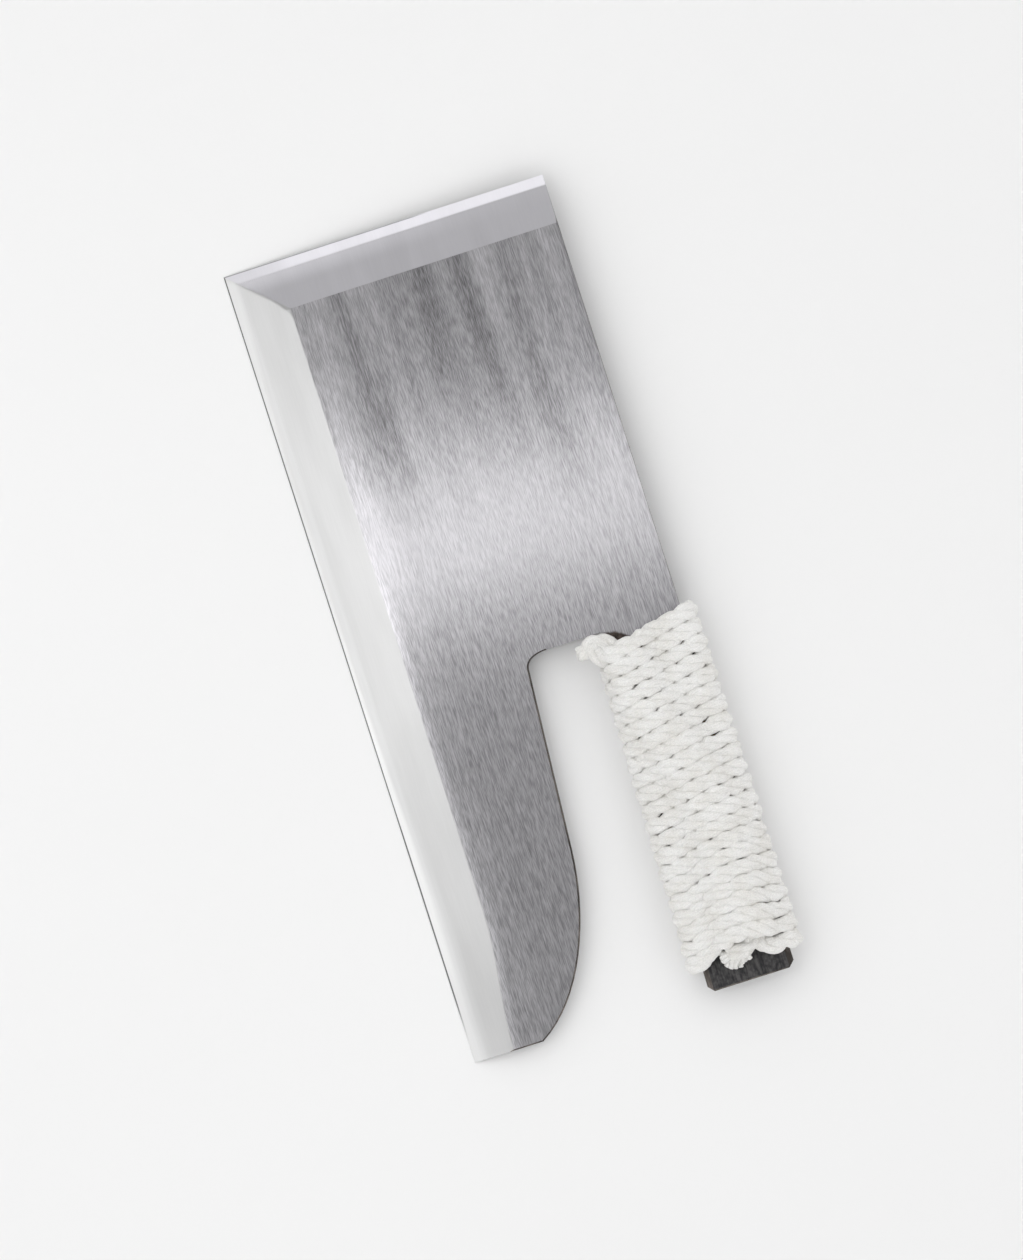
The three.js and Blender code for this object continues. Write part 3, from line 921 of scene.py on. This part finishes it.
@dataclass
class WoundCord:
    """The handle's cord: one length laid from three strands, up under the turns, back, and wound round the tang.

    A turn runs as in the solid, from the spine side, where BACK, NOTCH, FRONT and SPINE say at which share of TURN each
    further side starts. The fan's levels are the height of its lowest row of yarns and the step to the next row.
    """

    BACK, NOTCH, FRONT, SPINE, TURN = 2, 7, 11, 22, 24

    place: KnifeFrame
    blade: BladeSizes
    finish: Material
    sizes: CordSizes = CordSizes()
    cord: StrandLay = StrandLay(3, 0.0019, 0.0009, 0.00175, 0.0009, 10, 0.81)
    stub_cord: StrandLay = StrandLay(3, 0.00195, 0.0011, 0.0011, 0.0009, 14)
    yarn: StrandLay = StrandLay(1, 0.00092, 0.0, 0.0, 0.0006, 8)
    unevenness: float = 0.5
    uneven_step: float = 1.37
    frayed: tuple[Pair, ...] = (
        (100.8, 9.2), (103.6, 10.0), (106.6, 10.6), (109.3, 11.6), (110.3, 14.0), (109.0, 18.0),
    )
    loop: tuple[Triple, ...] = (
        (89.6, 126.4, 0.0), (86.5, 129.5, -0.6), (86.6, 131.3, -0.8), (88.7, 132.1, -0.6),
        (91.2, 131.7, 0.0), (92.8, 130.6, 0.9), (94.0, 128.6, 1.0), (96.6, 125.4, 0.0),
    )
    second: tuple[Pair, ...] = ((112.6, 17.0), (112.5, 12.6), (113.7, 9.7), (116.6, 8.5))
    stub: tuple[Triple, ...] = (
        (91.2, 130.4, -2.0), (88.8, 130.3, 1.4), (86.4, 130.2, 4.2), (84.0, 130.0, 5.6), (81.5, 129.8, 6.2),
    )
    yarns: int = 18
    yarn_rows: int = 3
    fringe: tuple[Pair, ...] = (
        (97.0, 11.4), (97.1, 9.2), (97.8, 7.3), (99.0, 5.6), (100.8, 4.5), (102.6, 4.6), (104.6, 5.3), (107.0, 6.0),
    )
    fan_roots: tuple[Pair, Pair] = ((102.4, 108.4), (9.2, 9.6))
    fan_bend: Triple = (-0.7, 0.5, 0)
    fan_bend_at: float = 0.55
    fan_stray: float = 1.3
    fan_levels: tuple[Pair, Pair, Pair] = ((5.8, 0.8), (5.4, 0.95), (4.85, 0.75))

    def strand_middle(self, y: float) -> float:
        """Middle of the two hidden strands at a height."""
        s = self.sizes
        return lerp(s.ridge, s.lean_to, smoothstep(y, s.lean_end - s.lean_run, s.lean_end))

    def ridge_lift(self, x: float, y: float) -> float:
        """How far the turns are lifted where they pass over the hidden strands."""
        aside = abs(x - self.strand_middle(y)) - self.sizes.strand_spacing / 2 - self.sizes.ridge_flat
        return self.sizes.strand_spacing * (1 - smoothstep(aside, 0, self.sizes.ridge_ramp))

    def around(self, share: float, y: float) -> tuple[Vector, Vector]:
        """Place of the middle line in one turn, and the way out of the tang there.

        Args:
            share: share of the turn.
            y: height of the turn there.

        Returns:
            The point and the outward direction, in knife coordinates.
        """
        s = self.sizes
        right = self.blade.height - s.bend_inset
        left = self.blade.tang_inner(y) + s.bend_inset
        x, angle = right, -math.pi / 2 * share / self.BACK
        if share > self.SPINE:
            angle = math.pi / 2 * (1 - (share - self.SPINE) / (self.TURN - self.SPINE))
        elif share > self.FRONT:
            x, angle = lerp(left, right, (share - self.FRONT) / (self.SPINE - self.FRONT)), math.pi / 2
        elif share > self.NOTCH:
            x, angle = left, -math.pi / 2 - math.pi * (share - self.NOTCH) / (self.FRONT - self.NOTCH)
        elif share > self.BACK:
            x, angle = lerp(right, left, (share - self.BACK) / (self.NOTCH - self.BACK)), -math.pi / 2
        out = Vector((math.cos(angle), 0, math.sin(angle)))
        point = Vector((x, y, self.blade.thickness / 2)) + out * s.bend_radius
        point.z += self.ridge_lift(point.x, y) * max(0.0, math.sin(angle))
        return point, out

    def right_height(self, turn: float) -> float:
        """Height of a turn at the spine side, a little uneven."""
        even = lerp(self.sizes.foot_right, self.sizes.top_right, turn / self.sizes.turns)
        return even + self.unevenness * noise.noise((turn * self.uneven_step, 0.5, 2.0))

    def left_height(self, turn: float) -> float:
        """Height of a turn at the notch side, a little uneven."""
        even = lerp(self.sizes.foot_left, self.sizes.top_left, turn / self.sizes.turns)
        return even + self.unevenness * noise.noise((turn * self.uneven_step, 4.5, 6.0))

    def winding(self, turn: int, share: float) -> tuple[Vector, Vector]:
        """Place of the winding's middle line, which rises in peaks on the lower turns.

        Args:
            turn: number of the turn, from 0 at the foot.
            share: share of that turn.

        Returns:
            The point and the outward direction, in knife coordinates.
        """
        s = self.sizes
        half = (self.NOTCH + self.FRONT) / 2
        if share <= half:
            return self.around(share, lerp(self.right_height(turn), self.left_height(turn), share / half))
        level = lerp(self.left_height(turn), self.right_height(turn + 1), (share - half) / (self.TURN - half))
        point, out = self.around(share, level)
        fade = max(0.0, 1 - turn / s.peak_turns)
        middle = lerp(s.first_peak, s.peak_middle, smoothstep(turn, 0, s.peak_settles))
        aside = min(1.0, abs(point.x - middle) / s.peak_span)
        point.y += s.peak_rise * fade * math.cos(aside * math.pi / 2)
        return point, out

    def lead(self) -> list[Vector]:
        """Points of the stretch on the face: frayed end, first strand, loop, second strand, first bend.

        Returns:
            The points in order.
        """
        s = self.sizes
        half = s.strand_spacing / 2
        level = self.blade.thickness / 2 + s.bend_radius
        last = s.strand_points - 1
        heights = [lerp(s.strand_foot, s.lean_end, at / last) for at in range(s.strand_points)]
        up = [*self.frayed, *((self.strand_middle(y) - half, y) for y in heights)]
        down = [*((self.strand_middle(y) + half, y) for y in reversed(heights)), *self.second]
        down.append((self.blade.height - s.bend_inset, s.foot_right))
        points = [Vector((x, y, level)) for x, y in up]
        points += [Vector((x, y, level + lift)) for x, y, lift in self.loop]
        return points + [Vector((x, y, level)) for x, y in down]

    def route(self) -> Route:
        """The cord's middle line from its frayed end to where its cut end leaves the last turn.

        Returns:
            The line.
        """
        shares = rows(0, 0.5, 2 * self.TURN)
        line = [(point, UP) for point in smooth_line(self.lead(), parts=14)]
        line += [self.around(share, self.sizes.foot_right) for share in shares if share > self.SPINE]
        for turn in range(self.sizes.turns):
            line += [self.winding(turn, share) for share in shares]
        return line + [self.winding(self.sizes.turns, share) for share in shares if share <= self.NOTCH]

    def cut_end(self) -> Route:
        """Middle line of the square-cut end, from behind the tang to the cut."""
        leave, out = self.winding(self.sizes.turns, self.NOTCH)
        return [(point, out) for point in smooth_line([leave, *map(Vector, self.stub)], parts=6)]

    def fan(self) -> list[Route]:
        """Middle lines of the yarns that splay out of the frayed end.

        Returns:
            One line for each yarn.
        """
        lines = []
        tips = smooth_line([Vector((x, y, 0)) for x, y in self.fringe], parts=6)
        for at in range(self.yarns):
            share = at / (self.yarns - 1)
            tip = tips[round(share * (len(tips) - 1))].copy()
            stray = Vector((noise.noise((at * 1.7, 3.1, 0.4)), noise.noise((at * 1.7, 7.9, 0.4)), 0))
            root = Vector((*(lerp(*ends, share) for ends in self.fan_roots), 0))
            bend = root.lerp(tip, self.fan_bend_at) + Vector(self.fan_bend)
            tip += stray * self.fan_stray
            for point, (level, step) in zip((root, bend, tip), self.fan_levels):
                point.z = level + step * (at % self.yarn_rows)
            lines.append([(point, UP) for point in smooth_line([root, bend, tip], parts=8)])
        return lines

    def build(self) -> Object:
        """Lays the strands along the route and puts the piece in its place.

        Returns:
            The finished piece.
        """
        tree = RopeTree(self.finish)
        whole = bmesh.new()
        for routes, lay in (([self.route()], self.cord), ([self.cut_end()], self.stub_cord), (self.fan(), self.yarn)):
            laid = tree.lay_along(routes, self.place, lay)
            whole.from_mesh(laid)
            bpy.data.meshes.remove(laid)
        for vertex in whole.verts:
            vertex.co.z = max(vertex.co.z, 0.0)
        mesh = baked(whole, "handle_cord_visual")
        mesh.materials.append(self.finish)
        return stand_for(mesh, "handle_cord")


def smooth_line(points: Sequence[Vector], parts: int) -> list[Vector]:
    """Centripetal curve through points.

    Args:
        points: the points in order.
        parts: pieces that each stretch is cut into.

    Returns:
        The points of the curve, ends included.
    """
    ends = [points[0] * 2 - points[1], *points, points[-1] * 2 - points[-2]]
    line: list[Vector] = []
    for stretch in zip(ends, ends[1:], ends[2:], ends[3:]):
        knots = [0.0]
        for start, stop in zip(stretch, stretch[1:]):
            knots.append(knots[-1] + max(1e-6, (stop - start).length) ** 0.5)
        line += [curve_point(stretch, knots, lerp(knots[1], knots[2], at / parts)) for at in range(parts)]
    return [*line, points[-1].copy()]


def curve_point(points: Sequence[Vector], knots: Sequence[float], t: float) -> Vector:
    """Point of a Catmull-Rom stretch.

    Args:
        points: the stretch's two ends, with the points before and after them.
        knots: the four knot values.
        t: knot value of the point.

    Returns:
        The point.
    """
    level = list(points)
    for depth in (1, 2, 3):
        for at in range(4 - depth):
            low, high = (knots[at], knots[at + depth]) if depth < 3 else (knots[1], knots[2])
            level[at] = level[at].lerp(level[at + 1], (t - low) / (high - low))
    return level[0]


class RopeTree:
    """Geometry Nodes tree that lays strands round a middle line, each a closed tube."""

    THINS = (0.34, 0.56)  # values of a noise between which the cord goes from thinnest to full

    def __init__(self, finish: Material) -> None:
        """Builds the tree for one finish.

        Args:
            finish: the strands' material.
        """
        self.tree = bpy.data.node_groups.new("laid cord", "GeometryNodeTree")
        face = self.tree.interface
        face.new_socket("Geometry", in_out="INPUT", socket_type="NodeSocketGeometry")
        for size in fields(StrandLay):
            kind = "NodeSocketInt" if size.type is int else "NodeSocketFloat"
            face.new_socket(StrandLay.socket(size.name), in_out="INPUT", socket_type=kind)
        face.new_socket("Geometry", in_out="OUTPUT", socket_type="NodeSocketGeometry")
        self.kit = NodeKit(self.tree)
        self.lay_out(finish)

    def stored(self, geometry: Socket, name: str, value: Socket, kind: str) -> Socket:
        """Stores a value on a geometry's points.

        Args:
            geometry: the curves.
            name: name that the value is stored under.
            value: the value at each point.
            kind: Blender's name of the value's type.

        Returns:
            The geometry with the value.
        """
        inputs = {"Name": name, "Geometry": geometry}
        store = self.kit.add("GeometryNodeStoreNamedAttribute", inputs, data_type=kind, domain="POINT")
        self.kit.put(live(store.inputs, "Value"), value)
        return store.outputs[0]

    def named(self, name: str, kind: str) -> Socket:
        """Value stored under a name."""
        return live(self.kit.add("GeometryNodeInputNamedAttribute", {"Name": name}, data_type=kind).outputs)

    def thinning(self, thinnest: Socket, wave: Socket) -> Socket:
        """Share of its full thickness that the cord has along its length.

        Args:
            thinnest: the least share.
            wave: length from one thin place to the next.

        Returns:
            The share at each point.
        """
        along = self.kit.math("DIVIDE", self.named("along", "FLOAT"), wave)
        inputs = {"W": along, "Scale": 1.0, "Detail": 1.0, "Roughness": 0.5}
        waves = self.kit.add("ShaderNodeTexNoise", inputs, noise_dimensions="1D")
        return self.kit.span(waves.outputs[0], self.THINS, (thinnest, 1.0))

    def lay_out(self, finish: Material) -> None:
        """Builds the nodes: middle line, strands, helix, tubes, finish.

        Args:
            finish: the strands' material.
        """
        kit = self.kit
        given = kit.add("NodeGroupInput").outputs
        line = kit.add("GeometryNodeMeshToCurve", {0: given["Geometry"]}).outputs[0]
        even = kit.add("GeometryNodeResampleCurve", {"Curve": line, "Length": given["Step"]}, mode="LENGTH")
        along = kit.add("GeometryNodeSplineParameter").outputs["Length"]
        measured = self.stored(even.outputs[0], "along", along, "FLOAT")
        wanted = {"Geometry": measured, "Amount": given["Strands"]}
        copies = kit.add("GeometryNodeDuplicateElements", wanted, domain="SPLINE").outputs
        share = kit.math("DIVIDE", copies["Duplicate Index"], given["Strands"])
        turned = kit.math("DIVIDE", self.named("along", "FLOAT"), given["Lay"])
        angle = kit.times(kit.plus(share, turned), 2 * math.pi)
        out = kit.vector("NORMALIZE", self.named("out", "FLOAT_VECTOR"))
        tangent = kit.add("GeometryNodeInputTangent").outputs[0]
        aside = kit.vector("NORMALIZE", kit.vector("CROSS_PRODUCT", tangent, out))
        lift = kit.vector("SCALE", out, scale=kit.times(kit.math("COSINE", angle), given["Stand Out"]))
        slide = kit.vector("SCALE", aside, scale=kit.times(kit.math("SINE", angle), given["Stand Aside"]))
        width = self.thinning(given["Thinnest"], given["Thin Every"])
        offset = kit.vector("SCALE", kit.vector("ADD", lift, slide), scale=width)
        moved = kit.add("GeometryNodeSetPosition", {"Geometry": copies["Geometry"], "Offset": offset})
        ring = kit.add("GeometryNodeCurvePrimitiveCircle", {"Resolution": given["Sides"]})
        kit.put(live(ring.inputs, "Radius"), given["Strand Radius"])
        place = kit.vector("NORMALIZE", kit.add("GeometryNodeInputPosition").outputs[0])
        marked = self.stored(ring.outputs[0], "around", place, "FLOAT_VECTOR")
        shape = {"Curve": moved.outputs[0], "Profile Curve": marked, "Scale": width, "Fill Caps": True}
        tube = kit.add("GeometryNodeCurveToMesh", shape)
        smooth = kit.add("GeometryNodeSetShadeSmooth", {"Geometry": tube.outputs[0]})
        whole = kit.add("GeometryNodeRealizeInstances", {0: smooth.outputs[0]})
        dressed = kit.add("GeometryNodeSetMaterial", {"Geometry": whole.outputs[0], "Material": finish})
        kit.add("NodeGroupOutput", {0: dressed.outputs[0]})

    def lay_along(self, routes: Sequence[Route], place: KnifeFrame, lay: StrandLay) -> Mesh:
        """Runs the tree along middle lines.

        Args:
            routes: the lines, in knife coordinates.
            place: where the knife lies.
            lay: the strands' sizes.

        Returns:
            The plain mesh of the strands.
        """
        points: list[Vector] = []
        ways: list[float] = []
        edges: list[tuple[int, int]] = []
        for route in routes:
            first = len(points)
            points += [place.point(*point) for point, _ in route]
            ways += [part for _, way in route for part in place.direction(way)]
            edges += [(at, at + 1) for at in range(first, len(points) - 1)]
        mesh = bpy.data.meshes.new("middle_lines")
        mesh.from_pydata(points, edges, [])
        mesh.attributes.new("out", "FLOAT_VECTOR", "POINT").data.foreach_set("vector", ways)
        carrier = show(mesh)
        modifier = carrier.modifiers.new("laid cord", "NODES")
        modifier.node_group = self.tree
        for name, value in asdict(lay).items():
            modifier[self.tree.interface.items_tree[StrandLay.socket(name)].identifier] = value
        graph = bpy.context.evaluated_depsgraph_get()
        laid = bpy.data.meshes.new_from_object(carrier.evaluated_get(graph))
        bpy.data.objects.remove(carrier)
        return laid


@dataclass
class Studio:
    """Camera over the knife, pale floor, soft light. The picture is in mm and degrees, the rest in metres."""

    place: KnifeFrame
    picture_turn: float = 17.75
    picture_height: float = 457.4
    picture_middle: Triple = (61.0, 145.9, 4.0)
    lens: float = 220.0
    sensor: float = 36.0
    clip: Pair = (0.01, 50.0)
    floor_radius: float = 6.0
    floor_tone: Pair = (0.862, 0.872)
    floor_waves: Triple = (400, 400, 400)
    dome: tuple[Pair, ...] = (
        (0.0, 0.42), (0.2, 0.66), (0.45, 0.93), (0.62, 1.0), (0.74, 0.75), (0.857, 0.62), (0.93, 0.234), (1.0, 0.121),
    )
    dome_strength: float = 1.4
    panel_spot: Triple = (-0.25, 0.057, 0.8)
    panel_turn: float = 7.3
    panel_size: Pair = (0.80, 0.076)
    panel_taper: Ramp = ((0.08, 0.24), (1.0, 0.70))
    panel_fade: Pair = (0.4, 0.152)
    panel_level: float = 8.8
    lamp_spot: Triple = (-0.80, 0.12, 1.25)
    lamp_aim: Triple = (0, 0.12, 0)
    lamp_size: Pair = (0.75, 1.2)
    lamp_power: float = 1.0

    def build(self) -> None:
        """Adds the camera, the floor and the lights."""
        for add in (self.add_camera, self.add_floor, self.add_dome, self.add_panel, self.add_lamp):
            add()

    def add_camera(self) -> None:
        """Camera straight above, turned as the photograph is."""
        data = bpy.data.cameras.new("camera")
        data.sensor_fit = "VERTICAL"
        data.sensor_height = self.sensor
        data.lens = self.lens
        data.clip_start, data.clip_end = self.clip
        camera = show(data)
        height = self.picture_height * MILLIMETRE * self.lens / self.sensor
        camera.location = self.place.point(*self.picture_middle) + UP * height
        camera.rotation_euler = (0, 0, -math.radians(self.picture_turn))
        bpy.context.scene.camera = camera

    def add_floor(self) -> None:
        """Wide round pale floor."""
        shape = bmesh.new()
        bmesh.ops.create_circle(shape, cap_ends=True, segments=96, radius=self.floor_radius)
        mesh = baked(shape, "floor")
        material, kit, shader = new_material("pale paper")
        tone = kit.span(kit.grain(kit.place(), self.floor_waves), USUAL, self.floor_tone)
        kit.fill(shader, {"Base Color": kit.colour(tone, tone, tone), "Roughness": 1.0, "Specular IOR Level": 0.0})
        mesh.materials.append(material)
        show(mesh)

    def add_dome(self) -> None:
        """Even studio dome, darker overhead, where the ground face mirrors it."""
        world = bpy.data.worlds.new("studio dome")
        bpy.context.scene.world = world
        world.use_nodes = True
        kit = NodeKit(world.node_tree)
        way = kit.add("ShaderNodeTexCoord").outputs["Generated"]
        ramp = kit.add("ShaderNodeValToRGB", {0: kit.axes(way)[2]})
        elements = ramp.color_ramp.elements
        while len(elements) < len(self.dome):
            elements.new(0.5)
        for element, (position, level) in zip(elements, self.dome):
            element.position = position
            element.color = (level, level, level, 1)
        lit = {"Color": ramp.outputs[0], "Strength": self.dome_strength}
        kit.fill(world.node_tree.nodes["Background"], lit)

    def add_panel(self) -> None:
        """Overhead light panel that the ground face mirrors as a band, fading out towards its rim."""
        length, width = self.panel_size
        shape = bmesh.new()
        bmesh.ops.create_grid(shape, x_segments=1, y_segments=1, size=0.5)
        shape.transform(Matrix.Diagonal((length, width, 1, 1)))
        mesh = baked(shape, "light_panel")
        material, kit, shader = new_material("panel glow")
        x, y, _ = kit.axes(kit.place())
        aside = kit.math("DIVIDE", kit.math("ABSOLUTE", y), kit.span(x, *self.panel_taper))
        lengthwise = kit.span(kit.math("ABSOLUTE", x), self.panel_fade)
        glow = kit.times(kit.times(lengthwise, kit.span(aside, (width / 2, 0))), self.panel_level)
        kit.fill(shader, {
            "Base Color": (0, 0, 0, 1),
            "Specular IOR Level": 0.0,
            "Emission Color": (1, 1, 1, 1),
            "Emission Strength": glow,
        })
        material.cycles.emission_sampling = "NONE"
        mesh.materials.append(material)
        panel = show(mesh)
        panel.location = self.panel_spot
        panel.rotation_euler = (0, 0, -math.radians(self.panel_turn))
        panel.visible_camera = False
        panel.visible_shadow = False

    def add_lamp(self) -> None:
        """Soft panel on the edge side, whose first side runs along the blade."""
        data = bpy.data.lights.new("edge side panel", "AREA")
        data.shape = "RECTANGLE"
        data.size, data.size_y = self.lamp_size
        data.energy = self.lamp_power
        lamp = show(data)
        back = (Vector(self.lamp_spot) - Vector(self.lamp_aim)).normalized()
        side = Vector((0, 1, 0))
        turned = Matrix((side, back.cross(side), back)).transposed()
        lamp.matrix_world = Matrix.Translation(self.lamp_spot) @ turned.to_4x4()
        lamp.visible_camera = False


def main() -> None:
    """Builds the studio and the knife's pieces."""
    logging.basicConfig(level=logging.INFO, format="%(name)s: %(message)s")
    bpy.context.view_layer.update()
    bpy.context.scene.view_settings.view_transform = "Standard"
    sizes = BladeSizes()
    place = KnifeFrame.from_record(frame["record"], sizes.length, sizes.land)
    Studio(place).build()
    face = BrushedFace(place, sizes).make("brushed steel")
    wall = ScaledWall().make("forge scale")
    mitre = sizes.front_bevel / sizes.edge_bevel
    edge, front = place.shift.x * MILLIMETRE, (place.shift.y + sizes.length) * MILLIMETRE
    bevel = GroundBevel(edge, front, mitre).make("ground bevel")
    finishes = {Zone.FACE: face, Zone.BEVEL: bevel, Zone.WALL: wall, Zone.BACK: face}
    pieces = [
        BladeLayer("blade_body", "soft_iron", place, sizes, finishes),
        BladeLayer("edge_steel", "hard_steel", place, sizes, finishes),
        WoundCord(place, sizes, CottonLay().make("cotton cord")),
    ]
    for piece in pieces:
        made = piece.build()
        log.info("%s: %d faces", made.name, len(made.data.polygons))


if __name__ == "__main__":
    main()
